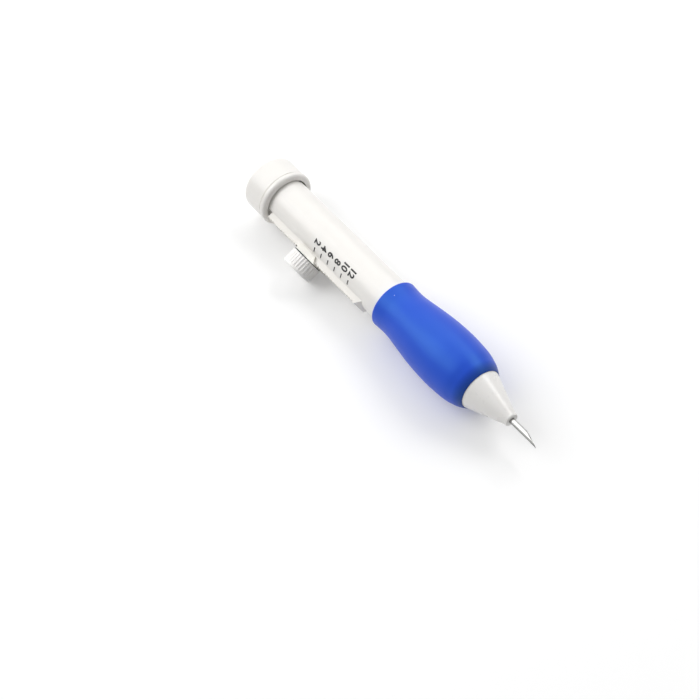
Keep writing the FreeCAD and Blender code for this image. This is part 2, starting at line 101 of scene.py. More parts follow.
class NodeBoard:
    """A node tree with short calls that add, set and join nodes."""

    def __init__(self, tree: bpy.types.NodeTree) -> None:
        """Keeps the tree that the calls work on.

        Args:
            tree: Shader or geometry node tree.
        """
        self.tree = tree

    def add(self, kind: str, **settings: object) -> bpy.types.Node:
        """Adds a node and sets its properties.

        Args:
            kind: Node type name.
            settings: Node properties by name.

        Returns:
            The new node.
        """
        node = self.tree.nodes.new(kind)
        for name, value in settings.items():
            setattr(node, name, value)
        return node

    def join(self, source: bpy.types.NodeSocket, target: bpy.types.NodeSocket) -> None:
        """Links an output socket to an input socket."""
        self.tree.links.new(source, target)

    def noise(self, place: bpy.types.NodeSocket, scale: float, detail: float = 2.0
              ) -> bpy.types.NodeSocket:
        """Adds noise in space.

        Args:
            place: Coordinates that it is read at.
            scale: Cells in a metre.
            detail: Finer layers.

        Returns:
            The noise, from 0 to 1.
        """
        texture = self.add("ShaderNodeTexNoise", noise_dimensions="3D")
        set_inputs(texture, {"Scale": scale, "Detail": detail})
        self.join(place, texture.inputs["Vector"])
        return texture.outputs["Fac"]

    def blend(self, factor: bpy.types.NodeSocket, start: Colour | bpy.types.NodeSocket, end: Colour
              ) -> bpy.types.NodeSocket:
        """Blends from one colour to another.

        Args:
            factor: 0 for the first colour, 1 for the last.
            start: First colour, or a socket that carries it.
            end: Last colour.

        Returns:
            The blended colour.
        """
        mixer = self.add("ShaderNodeMix", data_type="RGBA")
        if isinstance(start, tuple):
            mixer.inputs["A"].default_value = (*start, 1.0)
        else:
            self.join(start, mixer.inputs["A"])
        mixer.inputs["B"].default_value = (*end, 1.0)
        self.join(factor, mixer.inputs["Factor"])
        return mixer.outputs["Result"]

    def spread(self, value: bpy.types.NodeSocket, source: Place, target: Place,
               curve: str = "LINEAR") -> bpy.types.NodeSocket:
        """Maps a value from one range to another.

        Args:
            value: Value to map.
            source: Range that it comes from.
            target: Range that it goes to.
            curve: Interpolation between the two ends.

        Returns:
            The mapped value.
        """
        ranged = self.add("ShaderNodeMapRange", interpolation_type=curve)
        set_inputs(ranged, {"From Min": source[0], "From Max": source[1],
                            "To Min": target[0], "To Max": target[1]})
        self.join(value, ranged.inputs["Value"])
        return ranged.outputs["Result"]

    def combine(self, operation: str, first: bpy.types.NodeSocket,
                second: bpy.types.NodeSocket | float) -> bpy.types.NodeSocket:
        """Adds one step of arithmetic.

        Args:
            operation: What is done with the two values.
            first: First value.
            second: Second value, or a plain number.

        Returns:
            The result.
        """
        step = self.add("ShaderNodeMath", operation=operation)
        self.join(first, step.inputs[0])
        if isinstance(second, float):
            step.inputs[1].default_value = second
        else:
            self.join(second, step.inputs[1])
        return step.outputs[0]

    def emboss(self, shader: bpy.types.Node, height: bpy.types.NodeSocket, distance: float,
               strength: float) -> None:
        """Gives a shader a bump.

        Args:
            shader: Principled shader.
            height: Height of the skin, from 0 to 1.
            distance: Metres that a height of 1 stands for.
            strength: Share of the bump that shows.
        """
        bump = self.add("ShaderNodeBump")
        set_inputs(bump, {"Distance": distance, "Strength": strength})
        self.join(height, bump.inputs["Height"])
        self.join(bump.outputs["Normal"], shader.inputs["Normal"])


def set_inputs(node: bpy.types.Node, values: dict[str, object]) -> None:
    """Sets unlinked inputs of a node by name."""
    for name, value in values.items():
        node.inputs[name].default_value = value


def new_material(name: str) -> tuple[bpy.types.Material, NodeBoard, bpy.types.Node,
                                     bpy.types.NodeSocket]:
    """Makes a material with an empty tree, a Principled shader and Object coordinates.

    Args:
        name: Material name.

    Returns:
        The material, its board, the Principled node and the Object coordinates.
    """
    material = bpy.data.materials.new(name)
    material.use_nodes = True
    material.node_tree.nodes.clear()
    board = NodeBoard(material.node_tree)
    shader = board.add("ShaderNodeBsdfPrincipled")
    output = board.add("ShaderNodeOutputMaterial")
    board.join(shader.outputs["BSDF"], output.inputs["Surface"])
    return material, board, shader, board.add("ShaderNodeTexCoord").outputs["Object"]


def shaded(colour: Colour, share: float) -> Colour:
    """A colour at a share of its lightness."""
    return tuple(channel * share for channel in colour)


# ---------------------------------------------------------------------------
# Finishes
# ---------------------------------------------------------------------------


@dataclass(frozen=True)
class MouldedPlastic:
    """Glossy or satin injection-moulded plastic with a faint flow mottle and an even skin."""

    name: str
    colour: Colour
    shade: float = 0.965
    roughness: float = 0.24
    roughness_swing: float = 0.08
    mottle_scale: float = 260.0
    mottle_detail: float = 3.0
    skin_scale: float = 2600.0
    skin_height: float = 0.004 * MM
    skin_strength: float = 0.5
    index: float = 1.49
    coat: float = 0.12
    coat_roughness: float = 0.12
    translucence: float = 0.06
    light_reach: Colour = (1.2 * MM, 1.1 * MM, 1.0 * MM)

    def make(self) -> bpy.types.Material:
        """Builds the plastic.

        Returns:
            The material.
        """
        material, board, shader, place = new_material(self.name)
        flow = board.noise(place, self.mottle_scale, self.mottle_detail)
        board.join(board.blend(flow, self.colour, shaded(self.colour, self.shade)),
                   shader.inputs["Base Color"])
        swing = self.roughness_swing / 2
        board.join(board.spread(flow, (0.0, 1.0), (self.roughness - swing, self.roughness + swing)),
                   shader.inputs["Roughness"])
        board.emboss(shader, board.noise(place, self.skin_scale), self.skin_height,
                     self.skin_strength)
        set_inputs(shader, {
            "IOR": self.index, "Coat Weight": self.coat, "Coat Roughness": self.coat_roughness,
            "Subsurface Weight": self.translucence, "Subsurface Radius": self.light_reach,
            "Subsurface Scale": 1.0,
        })
        return material


@dataclass(frozen=True)
class SoftRubber:
    """Matt soft-touch rubber with a fine grain, a few pale specks of lint and, where set, a band of
    painted shade before the sleeve's mouth.
    """

    name: str
    colour: Colour
    deep_colour: Colour
    cloud_scale: float = 95.0
    cloud_detail: float = 4.0
    lint_colour: Colour = (0.60, 0.68, 0.85)
    lint_scale: float = 420.0
    lint_size: float = 0.045
    lint_rarity: float = 0.93
    gloss: float = 0.55
    gloss_tint: Colour = (0.3, 0.9, 1.0)
    roughness: float = 0.42
    sheen: float = 0.02
    sheen_roughness: float = 0.5
    sheen_tint: Colour = (0.75, 0.82, 1.0)
    grain_scale: float = 3800.0
    grain_height: float = 0.02 * MM
    grain_strength: float = 0.6
    # Band of painted shade before the mouth, where the lip turns away from the lamps.
    mouth_place: float = 0.0
    mouth_band: float = 3.2 * MM
    mouth_depth: float = 0.0
    mouth_colour: Colour = (0.008, 0.022, 0.20)

    def lint(self, board: NodeBoard, place: bpy.types.NodeSocket) -> bpy.types.NodeSocket:
        """Scatters rare small specks.

        Args:
            board: Tree to add to.
            place: Object coordinates.

        Returns:
            1 on a speck and 0 elsewhere.
        """
        cells = board.add("ShaderNodeTexVoronoi", voronoi_dimensions="3D", feature="F1")
        cells.inputs["Scale"].default_value = self.lint_scale
        board.join(place, cells.inputs["Vector"])
        split = board.add("ShaderNodeSeparateColor")
        board.join(cells.outputs["Color"], split.inputs["Color"])
        rare = board.combine("GREATER_THAN", split.outputs["Red"], self.lint_rarity)
        near = board.combine("LESS_THAN", cells.outputs["Distance"], self.lint_size)
        return board.combine("MULTIPLY", rare, near)

    def mouth(self, board: NodeBoard, place: bpy.types.NodeSocket) -> bpy.types.NodeSocket:
        """Finds the band before the sleeve's mouth, which turns in and is darkened there with
        painted shade.

        Args:
            board: Tree to add to.
            place: Object coordinates.

        Returns:
            How deep the painted shade is there, from 0 up to its set depth.
        """
        along = board.add("ShaderNodeSeparateXYZ")
        board.join(place, along.inputs["Vector"])
        band = (self.mouth_place - self.mouth_band, self.mouth_place)
        return board.spread(along.outputs["X"], band, (0.0, self.mouth_depth), "SMOOTHSTEP")

    def make(self) -> bpy.types.Material:
        """Builds the rubber.

        Returns:
            The material.
        """
        material, board, shader, place = new_material(self.name)
        cloud = board.noise(place, self.cloud_scale, self.cloud_detail)
        body = board.blend(cloud, self.deep_colour, self.colour)
        # Painted shade: the rubber darkens to a deep blue in the band before the mouth.
        rubber = board.blend(self.mouth(board, place), body, self.mouth_colour)
        board.join(board.blend(self.lint(board, place), rubber, self.lint_colour),
                   shader.inputs["Base Color"])
        board.emboss(shader, board.noise(place, self.grain_scale), self.grain_height,
                     self.grain_strength)
        set_inputs(shader, {
            "Roughness": self.roughness, "Sheen Weight": self.sheen,
            "Sheen Roughness": self.sheen_roughness, "Sheen Tint": (*self.sheen_tint, 1.0),
            "Specular IOR Level": self.gloss, "Specular Tint": (*self.gloss_tint, 1.0),
        })
        return material


@dataclass(frozen=True)
class WorkedMetal:
    """Metal with fine lengthwise drawing lines and a slight tarnish."""

    name: str
    colour: Colour
    dull_colour: Colour
    roughness: float = 0.16
    smoothest: float = 0.7
    roughest: float = 1.4
    edge_tint: float = 1.0
    tarnish_scale: float = 220.0
    line_scale: float = 5200.0
    line_detail: float = 4.0
    line_stretch: float = 0.02
    line_height: float = 0.002 * MM
    line_strength: float = 0.4

    def make(self) -> bpy.types.Material:
        """Builds the metal.

        Returns:
            The material.
        """
        material, board, shader, place = new_material(self.name)
        stretch = board.add("ShaderNodeMapping")
        stretch.inputs["Scale"].default_value = (self.line_stretch, 1.0, 1.0)
        board.join(place, stretch.inputs["Vector"])
        lines = board.noise(stretch.outputs["Vector"], self.line_scale, self.line_detail)
        tarnish = board.noise(place, self.tarnish_scale)
        board.join(board.blend(tarnish, self.colour, self.dull_colour), shader.inputs["Base Color"])
        span = (self.roughness * self.smoothest, self.roughness * self.roughest)
        board.join(board.spread(lines, (0.0, 1.0), span), shader.inputs["Roughness"])
        board.emboss(shader, lines, self.line_height, self.line_strength)
        set_inputs(shader, {"Metallic": 1.0,
                            "Specular Tint": (*shaded(WHITE, self.edge_tint), 1.0)})
        return material


@dataclass(frozen=True)
class PrintedInk:
    """Matt pad-printed ink, a little thinner here and there."""

    name: str = "scale_ink_print"
    colour: Colour = (0.004, 0.004, 0.005)
    thin_colour: Colour = (0.018, 0.018, 0.019)
    wear_scale: float = 3000.0
    roughness: float = 0.55

    def make(self) -> bpy.types.Material:
        """Builds the ink.

        Returns:
            The material.
        """
        material, board, shader, place = new_material(self.name)
        wear = board.noise(place, self.wear_scale)
        board.join(board.blend(wear, self.colour, self.thin_colour), shader.inputs["Base Color"])
        shader.inputs["Roughness"].default_value = self.roughness
        return material


@dataclass(frozen=True)
class Finishes:
    """Every finish on the pen, built once."""

    barrel: bpy.types.Material
    cone: bpy.types.Material
    knob: bpy.types.Material
    rail: bpy.types.Material
    saddle: bpy.types.Material
    grip: bpy.types.Material
    washer: bpy.types.Material
    ink: bpy.types.Material
    needle: bpy.types.Material
    screw: bpy.types.Material
    brass: bpy.types.Material
    hub: bpy.types.Material

    @classmethod
    def build(cls, grip_mouth: float) -> "Finishes":
        """Builds the set.

        Args:
            grip_mouth: Place along the pen of the grip's front mouth, where its band of painted
                shade ends.

        Returns:
            The finishes of the pen.
        """
        return cls(
            barrel=MouldedPlastic("barrel_white", (0.90, 0.88, 0.845), roughness=0.34).make(),
            cone=MouldedPlastic("cone_warm_white", (0.945, 0.93, 0.905), roughness=0.28,
                                coat=0.1).make(),
            knob=MouldedPlastic("knob_white", (0.965, 0.95, 0.925), roughness=0.34).make(),
            rail=MouldedPlastic("rail_cream", (0.90, 0.875, 0.825), roughness=0.36,
                                coat=0.05).make(),
            saddle=MouldedPlastic("saddle_cream", (0.88, 0.86, 0.79), roughness=0.32,
                                  coat=0.1).make(),
            # The grip's rubber carries painted shade in a band before its mouth.
            grip=SoftRubber("grip_blue", (0.019, 0.068, 0.64), (0.015, 0.058, 0.57),
                            mouth_place=grip_mouth, mouth_depth=0.8).make(),
            washer=SoftRubber("washer_black", (0.006, 0.006, 0.006), (0.004, 0.004, 0.004),
                              lint_colour=(0.01, 0.01, 0.01), gloss=0.2, sheen=0.0).make(),
            ink=PrintedInk().make(),
            needle=WorkedMetal("needle_polished", (0.44, 0.44, 0.43), (0.36, 0.36, 0.35),
                               edge_tint=0.1).make(),
            screw=WorkedMetal("screw_plain", (0.50, 0.50, 0.49), (0.40, 0.40, 0.39),
                              roughness=0.3).make(),
            brass=WorkedMetal("nut_brass", (0.66, 0.46, 0.17), (0.52, 0.34, 0.12),
                              roughness=0.28).make(),
            hub=MouldedPlastic("hub_white", (0.84, 0.84, 0.83), translucence=0.15).make(),
        )


# ---------------------------------------------------------------------------
# Mesh helpers
# ---------------------------------------------------------------------------


def dress(node: bpy.types.Object, material: bpy.types.Material) -> None:
    """Gives a piece one finish."""
    node.data.materials.clear()
    node.data.materials.append(material)


def settle(name: str, mesh: bpy.types.Mesh, material: bpy.types.Material,
           smooth_angle: float = 35.0) -> bpy.types.Object:
    """Makes a finished piece from a mesh, shaded smooth up to an angle.

    Args:
        name: Piece name.
        mesh: Mesh in the pen's frame.
        material: Its finish.
        smooth_angle: Edges sharper than this stay crisp, in degrees.

    Returns:
        The piece, linked to the scene.
    """
    mesh.materials.clear()
    mesh.materials.append(material)
    mesh.shade_smooth()
    mesh.set_sharp_from_angle(angle=math.radians(smooth_angle))
    piece = bpy.data.objects.new(name, mesh)
    bpy.context.scene.collection.objects.link(piece)
    return piece


def lathe(name: str, outline: Outline, segments: int) -> bpy.types.Mesh:
    """Turns a closed outline about the pen's axis.

    Args:
        name: Mesh name.
        outline: Closed run of (place, radius) corners; a corner of radius 0 becomes one pole.
        segments: Facets round the axis.

    Returns:
        A closed mesh with outward faces.
    """
    builder = bmesh.new()
    poles = {corner: builder.verts.new((place, 0.0, 0.0))
             for corner, (place, radius) in enumerate(outline) if radius == 0.0}
    rings: list[list[bmesh.types.BMVert]] = []
    for step in range(segments):
        angle = 2 * math.pi * step / segments
        rings.append([poles.get(corner) or
                      builder.verts.new((place, radius * math.cos(angle), radius * math.sin(angle)))
                      for corner, (place, radius) in enumerate(outline)])
    count = len(outline)
    for step in range(segments):
        here, after = rings[step], rings[(step + 1) % segments]
        for corner in range(count):
            following = (corner + 1) % count
            loop = list(dict.fromkeys((here[corner], here[following],
                                       after[following], after[corner])))
            if len(loop) > 2:
                builder.faces.new(loop)
    bmesh.ops.recalc_face_normals(builder, faces=builder.faces)
    mesh = bpy.data.meshes.new(name)
    builder.to_mesh(mesh)
    builder.free()
    return mesh


def arc(centre: Place, radius: float, start: float, end: float, steps: int) -> list[Place]:
    """Points of an arc in an outline.

    Args:
        centre: (place, radius) of the arc's centre.
        radius: Arc radius.
        start: First angle in degrees, from the direction of the needle towards larger radii.
        end: Last angle in degrees.
        steps: Number of chords.

    Returns:
        The points, both ends included.
    """
    points = []
    for step in range(steps + 1):
        angle = math.radians(start + (end - start) * step / steps)
        points.append((centre[0] + radius * math.cos(angle), centre[1] + radius * math.sin(angle)))
    return points


def smooth_run(knots: Outline, steps: int) -> list[Place]:
    """Smooth curve through knots, with tangents from their neighbours.

    Args:
        knots: (place, radius) points in order.
        steps: Chords between two knots.

    Returns:
        The points of the curve, both ends included.
    """
    tangents = []
    for index in range(len(knots)):
        before = knots[max(index - 1, 0)]
        after = knots[min(index + 1, len(knots) - 1)]
        tangents.append((after[1] - before[1]) / (after[0] - before[0]))
    points = []
    for index in range(len(knots) - 1):
        (x0, r0), (x1, r1) = knots[index], knots[index + 1]
        span = x1 - x0
        for step in range(steps):
            t = step / steps
            radius = ((2 * t ** 3 - 3 * t ** 2 + 1) * r0
                      + (t ** 3 - 2 * t ** 2 + t) * span * tangents[index]
                      + (-2 * t ** 3 + 3 * t ** 2) * r1
                      + (t ** 3 - t ** 2) * span * tangents[index + 1])
            points.append((x0 + t * span, radius))
    return points + [tuple(knots[-1])]


def bend(start: Place, near_start: Place, near_end: Place, end: Place, steps: int
         ) -> list[Place]:
    """Smooth bend between two points of an outline.

    Args:
        start: First point.
        near_start: Handle that the bend leaves the first point towards.
        near_end: Handle that it comes into the last point from.
        end: Last point.
        steps: Number of chords.

    Returns:
        The points, both ends included.
    """
    corners = (start, near_start, near_end, end)
    points = []
    for step in range(steps + 1):
        t = step / steps
        shares = ((1 - t) ** 3, 3 * t * (1 - t) ** 2, 3 * t ** 2 * (1 - t), t ** 3)
        points.append((sum(share * corner[0] for share, corner in zip(shares, corners)),
                       sum(share * corner[1] for share, corner in zip(shares, corners))))
    return points


def run_geometry_nodes(name: str, mesh: bpy.types.Mesh,
                       lay_out: Callable[[NodeBoard, dict[str, bpy.types.NodeSocket]], None],
                       values: dict[str, tuple[str, object]],
                       material: bpy.types.Material) -> bpy.types.Mesh:
    """Runs a geometry node tree on a mesh and returns the plain result.

    Args:
        name: Tree and mesh name.
        mesh: Mesh that the tree starts from.
        lay_out: Function that adds the nodes, given the board and the named sockets.
        values: Named inputs of the tree: socket type and value.
        material: Finish that the tree's Set Material node gives.

    Returns:
        A plain mesh, with instances realised.
    """
    tree = bpy.data.node_groups.new(name, "GeometryNodeTree")
    tree.interface.new_socket("Geometry", in_out="INPUT", socket_type="NodeSocketGeometry")
    sockets = {label: tree.interface.new_socket(label, in_out="INPUT", socket_type=kind)
               for label, (kind, _) in values.items()}
    tree.interface.new_socket("Geometry", in_out="OUTPUT", socket_type="NodeSocketGeometry")
    board = NodeBoard(tree)
    entry = board.add("NodeGroupInput")
    exit_node = board.add("NodeGroupOutput")
    realise = board.add("GeometryNodeRealizeInstances")
    paint = board.add("GeometryNodeSetMaterial")
    paint.inputs["Material"].default_value = material
    board.join(realise.outputs["Geometry"], paint.inputs["Geometry"])
    board.join(paint.outputs["Geometry"], exit_node.inputs["Geometry"])
    named = {label: entry.outputs[label] for label in values}
    named["Geometry"] = entry.outputs["Geometry"]
    named["result"] = realise.inputs["Geometry"]
    lay_out(board, named)
    carrier = bpy.data.objects.new(name, mesh)
    bpy.context.scene.collection.objects.link(carrier)
    modifier = carrier.modifiers.new(name, "NODES")
    modifier.node_group = tree
    for label, (_, value) in values.items():
        modifier[sockets[label].identifier] = value
    bpy.context.view_layer.update()
    graph = bpy.context.evaluated_depsgraph_get()
    result = bpy.data.meshes.new_from_object(carrier.evaluated_get(graph), depsgraph=graph)
    bpy.data.objects.remove(carrier)
    bpy.data.node_groups.remove(tree)
    result.name = name
    return result


# ---------------------------------------------------------------------------
# Sub-assemblies
# ---------------------------------------------------------------------------


@dataclass
class PenAxes:
    """How the pen's own directions lie in the frame.

    Attributes:
        droop: Degrees that the knob points below the level.
    """

    droop: float = 19.5

    def roll(self) -> Matrix:
        """Turns a shape made with the knob along -Y into the frame."""
        return Matrix.Rotation(math.radians(self.droop), 4, "X")

    def reach(self, node: bpy.types.Object) -> Place:
        """Lowest and highest reach of a piece towards the knob.

        Args:
            node: Piece of the frame.

        Returns:
            Both heights above the pen's axis.
        """
        towards = self.roll() @ Vector((0.0, -1.0, 0.0))
        heights = [vertex.co.dot(towards) for vertex in node.data.vertices]
        return min(heights), max(heights)

    def knob_stand(self, place: float) -> Matrix:
        """Puts a shape made round +Z from the pen's axis on to the knob's axis.

        Args:
            place: Knob axis along the pen.

        Returns:
            The matrix from the knob's own frame to the pen's frame.
        """
        stand = Matrix.Rotation(math.radians(90), 4, "X")
        return self.roll() @ Matrix.Translation((place, 0, 0)) @ stand


@dataclass
class PlainPieces:
    """Pieces of the frame, which keep their shape and take a finish.

    The solids of the grip and the knob are dressed too, though finer pieces stand for them.
    """

    finishes: Finishes
    figures: tuple[str, ...] = ("02", "04", "06", "08", "10", "12")

    def assignments(self) -> dict[str, bpy.types.Material]:
        """Chooses a finish for each piece.

        Returns:
            The finishes by piece name.
        """
        look = self.finishes
        table = {
            "barrel": look.barrel, "toothed_rail": look.rail, "depth_saddle": look.saddle,
            "saddle_washer": look.washer, "thumb_screw": look.screw, "carrier_nut": look.brass,
            "needle_carrier": look.hub, "needle_hub": look.hub, "needle_tube": look.needle,
            "end_cap": look.barrel, "nose_cone": look.cone, "grip_sleeve": look.grip,
            "thumb_knob": look.barrel,
        }
        table.update({f"scale_mark_{figure}": look.ink for figure in self.figures})
        return table

    def build(self, nodes: dict[str, bpy.types.Object]) -> None:
        """Gives every piece its finish.

        Args:
            nodes: Pieces of the frame by name.
        """
        for name, material in self.assignments().items():
            dress(nodes[name], material)
            LOG.info("%s: %s", name, material.name)


@dataclass
class GripSleeve:
    """Soft sleeve with rolled ends, made finer than its solid.

    Attributes:
        start: Rear end along the pen.
        end: Front end along the pen.
        inner_radius: Skin of the barrel.
        knots: (distance from the rear end, radius) along the flank.
        mouth_radius: Radius of the front edge, where the nose ends.
        lip_radius: Radius of the hole that the nose cone comes out of.
        lip_depth: Length of the lip over the barrel's front end.
        nose_reach: How far the nose runs on from the flank before it turns in.
        nose_rise: How steeply it comes in to the mouth.
    """

    start: float
    end: float
    inner_radius: float = 6.7 * MM
    knots: tuple[Place, ...] = (
        (0.55 * MM, 7.77 * MM), (2.4 * MM, 7.66 * MM), (4.5 * MM, 7.57 * MM),
        (7.4 * MM, 7.74 * MM), (10.6 * MM, 8.17 * MM), (18.0 * MM, 9.05 * MM),
        (25.4 * MM, 9.39 * MM), (30.0 * MM, 9.18 * MM), (33.6 * MM, 8.80 * MM),
        (36.3 * MM, 8.08 * MM),
    )
    mouth_radius: float = 6.64 * MM
    lip_radius: float = 6.52 * MM
    lip_depth: float = 0.6 * MM
    nose_reach: float = 0.85 * MM
    nose_rise: float = 0.12 * MM
    steps: int = 8
    nose_steps: int = 14
    segments: int = 256

    def outline(self) -> list[Place]:
        """Closed outline of the sleeve.

        Returns:
            The (place, radius) corners.
        """
        first_place, first_radius = self.knots[0]
        rear_centre = (self.start + first_place, first_radius - first_place)
        rear = arc(rear_centre, first_place, 180, 90, self.steps)[:-1]
        flank = smooth_run([(self.start + place, radius) for place, radius in self.knots],
                           self.steps)
        last_place, last_radius = flank[-1]
        slope = (last_radius - flank[-2][1]) / (last_place - flank[-2][0])
        onward = (last_place + self.nose_reach, last_radius + self.nose_reach * slope)
        inward = (self.end, self.mouth_radius + self.nose_rise)
        mouth = (self.end, self.mouth_radius)
        nose = bend(flank[-1], onward, inward, mouth, self.nose_steps)[1:]
        lip = [(self.end, self.lip_radius), (self.end - self.lip_depth, self.lip_radius),
               (self.end - self.lip_depth, self.inner_radius)]
        return rear + flank + nose + lip + [(self.start, self.inner_radius)]

    def build(self, material: bpy.types.Material) -> bpy.types.Object:
        """Builds the sleeve, which stands for its solid.

        Args:
            material: Rubber of the sleeve.

        Returns:
            The piece.
        """
        piece = settle("soft_grip", lathe("soft_grip", self.outline(), self.segments), material)
        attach(piece, Body.BARREL.value)
        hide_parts("grip_sleeve")
        LOG.info("soft_grip: %d faces", len(piece.data.polygons))
        return piece


@dataclass
class FlutedKnob:
    """Clamp knob: turned core with a plain lip, a dished end and rounded ribs.

    Attributes:
        place: Knob axis along the pen.
        foot: Height of the knob's inner face above the pen's axis.
        top: Height of its outer face.
        root_depth: Depth of the flutes' roots below the lip.
        lip_step: (height, depth) of the slope from the flutes up to the lip.
        dish_rim: (height below the top, distance outside the dish) of the rim's two corners.
        dish_slope: How far the dish narrows from its rim to its floor.
        rib_sink: How far the ribs' crowns stay below the lip.
        rib_gap: What the ribs stop short of the knob's inner face.
        rib_cover: How far they run in under the lip.
    """

    axes: PenAxes
    place: float
    foot: float
    top: float
    radius: float = 5.1 * MM
    root_depth: float = 0.16 * MM
    lip: float = 1.0 * MM
    rounding: float = 0.35 * MM
    rounding_steps: int = 6
    dish_radius: float = 3.6 * MM
    dish_depth: float = 0.3 * MM
    dish_rim: tuple[Place, Place] = ((0.0, 0.2 * MM), (0.08 * MM, 0.04 * MM))
    dish_slope: float = 0.05 * MM
    foot_chamfer: float = 0.14 * MM
    lip_step: Place = (0.05 * MM, 0.03 * MM)
    bore_radius: float = 1.26 * MM
    end_cover: float = 1.5 * MM
    flutes: int = 32
    rib_radius: float = 0.35 * MM
    rib_sides: int = 14
    rib_sink: float = 0.02 * MM
    rib_gap: float = 0.06 * MM
    rib_cover: float = 0.03 * MM
    segments: int = 128

    def core_outline(self) -> list[Place]:
        """Draws the closed outline of the core, both ends on the knob's axis.

        Returns:
            The (height, radius) corners.
        """
        root = self.radius - self.root_depth
        edge = arc((self.top - self.rounding, self.radius - self.rounding), self.rounding, 90, 0,
                   self.rounding_steps)
        lip_start = self.top - self.lip
        rise, drop = self.lip_step
        rim = [(self.top - below, self.dish_radius + outside) for below, outside in self.dish_rim]
        dish_floor = self.top - self.dish_depth
        return [
            (self.top - self.end_cover, 0.0), (self.top - self.end_cover, self.bore_radius),
            (self.foot, self.bore_radius), (self.foot, root - self.foot_chamfer),
            (self.foot + self.foot_chamfer, root), (lip_start, root),
            (lip_start + rise, self.radius - drop), *edge, *rim,
            (dish_floor, self.dish_radius - self.dish_slope), (dish_floor, 0.0),
        ]

    def lay_out_ribs(self, board: NodeBoard, named: dict[str, bpy.types.NodeSocket]) -> None:
        """Adds the nodes that stand one rib on each point of a ring.

        Args:
            board: Tree to add to.
            named: Named sockets of the tree.
        """
        ring = board.add("GeometryNodeMeshCircle", fill_type="NONE")
        board.join(named["Ribs"], ring.inputs["Vertices"])
        board.join(named["Ring Radius"], ring.inputs["Radius"])
        rib = board.add("GeometryNodeMeshCylinder", fill_type="NGON")
        rib.inputs["Vertices"].default_value = self.rib_sides
        board.join(named["Rib Radius"], rib.inputs["Radius"])
        board.join(named["Rib Length"], rib.inputs["Depth"])
        stand = board.add("GeometryNodeInstanceOnPoints")
        board.join(ring.outputs["Mesh"], stand.inputs["Points"])
        board.join(rib.outputs["Mesh"], stand.inputs["Instance"])
        lift = board.add("GeometryNodeTransform")
        height = board.add("ShaderNodeCombineXYZ")
        board.join(named["Rib Middle"], height.inputs["Z"])
        board.join(height.outputs["Vector"], lift.inputs["Translation"])
        board.join(stand.outputs["Instances"], lift.inputs["Geometry"])
        both = board.add("GeometryNodeJoinGeometry")
        board.join(named["Geometry"], both.inputs["Geometry"])
        board.join(lift.outputs["Geometry"], both.inputs["Geometry"])
        board.join(both.outputs["Geometry"], named["result"])

    def build(self, material: bpy.types.Material) -> bpy.types.Object:
        """Builds the knob, which stands for its solid.

        Args:
            material: Plastic of the knob.

        Returns:
            The piece.
        """
        core = lathe("knob_core", self.core_outline(), self.segments)
        core.transform(Matrix.Rotation(math.radians(-90), 4, "Y"))
        rib_start = self.foot + self.rib_gap
        rib_end = self.top - self.lip + self.rib_cover
        values = {
            "Ribs": ("NodeSocketInt", self.flutes),
            "Ring Radius": ("NodeSocketFloat", self.radius - self.rib_radius - self.rib_sink),
            "Rib Radius": ("NodeSocketFloat", self.rib_radius),
            "Rib Length": ("NodeSocketFloat", rib_end - rib_start),
            "Rib Middle": ("NodeSocketFloat", (rib_end + rib_start) / 2),
        }
        mesh = run_geometry_nodes("knob_ribs", core, self.lay_out_ribs, values, material)
        mesh.transform(self.axes.knob_stand(self.place))
        piece = settle("fluted_knob", mesh, material)
        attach(piece, Body.KNOB.value)
        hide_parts("thumb_knob")
        LOG.info("fluted_knob: %d faces", len(piece.data.polygons))
        return piece


